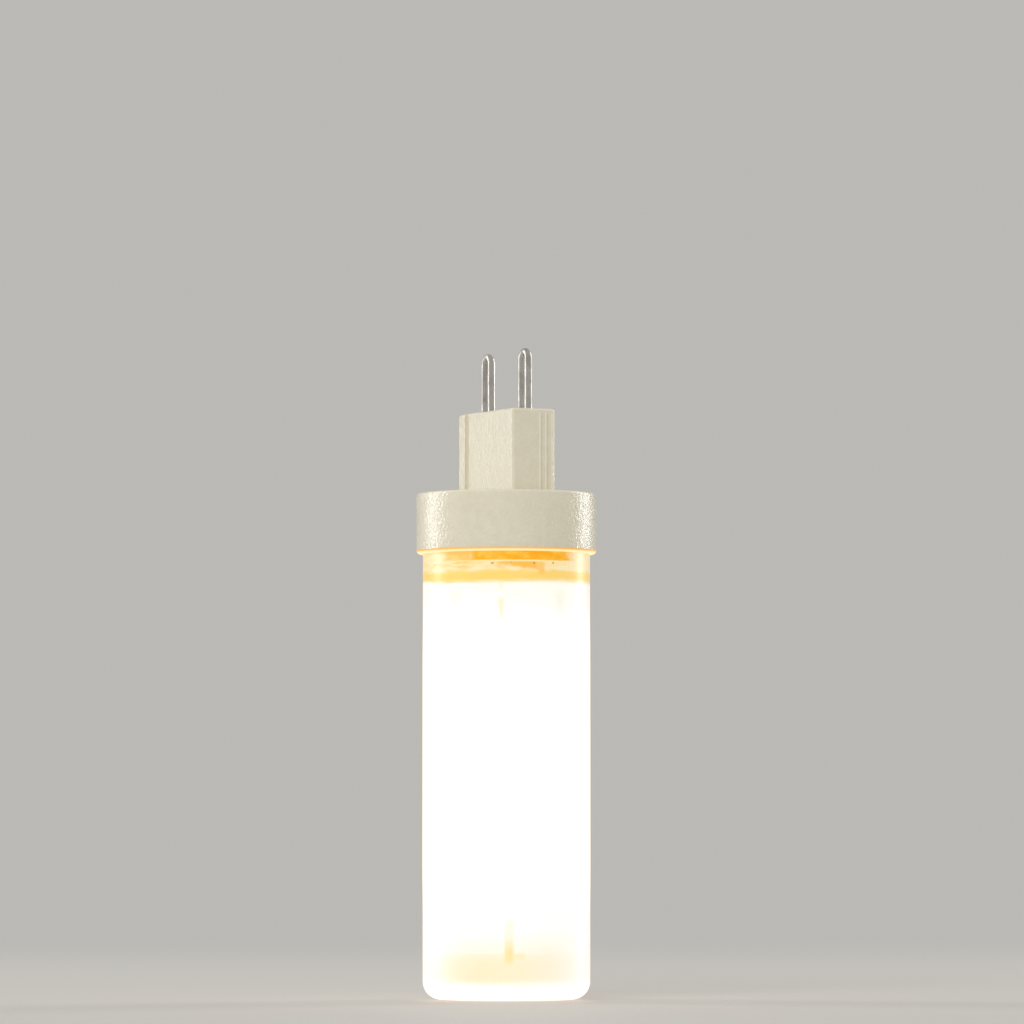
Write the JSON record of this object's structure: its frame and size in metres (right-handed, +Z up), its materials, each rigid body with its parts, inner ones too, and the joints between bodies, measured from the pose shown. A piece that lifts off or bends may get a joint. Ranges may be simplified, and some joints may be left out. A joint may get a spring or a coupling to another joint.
{
  "type": "led capsule bulb",
  "caption": "Lit light bulb in the form of a milky glass capsule, with a cream moulded collar and a flat plug whose two wire loops push into a lamp holder.",
  "frame": {"origin": "on the bulb's axis at the level of the lowest point of the glass, where it stands when set down", "axes": "+Z up along the axis, from the closed end of the glass to the contact pins; +X along the row of the two pins; +Y through the thin way of the plug"},
  "size_m": [0.0188, 0.0188, 0.0679],
  "materials": {
    "milky_glass": "smooth, milky, lit warm white from inside",
    "cream_moulding": "glossy cream moulding with a faint orange-peel skin",
    "pin_steel": "bright drawn wire",
    "set_glue": "clear amber set glue",
    "board_green": "green circuit board",
    "board_white": "white circuit board",
    "chip_yellow": "yellow phosphor in a white frame",
    "chip_black": "black moulded chip body",
    "capacitor_can": "plain drawn can",
    "capacitor_red": "dipped resin",
    "wire_metal": "tinned wire",
    "solder": "bright solder"
  },
  "bodies": {
    "root": {"base_housing": "cream_moulding", "board_link_wires": "wire_metal", "bridge_rectifier": "chip_black", "driver_board": "board_green", "driver_chip": "chip_black", "film_capacitor": "capacitor_red", "fuse_resistor": "chip_black", "glass_envelope": "milky_glass", "glue_ring": "set_glue", "led_board": "board_white", "led_chips_back": "chip_yellow", "led_chips_front": "chip_yellow", "left_contact_pin": "pin_steel", "pin_solder_joints": "solder", "right_contact_pin": "pin_steel", "set_resistors": "chip_black", "smoothing_capacitor": "capacitor_can"}
  },
  "joints": []
}
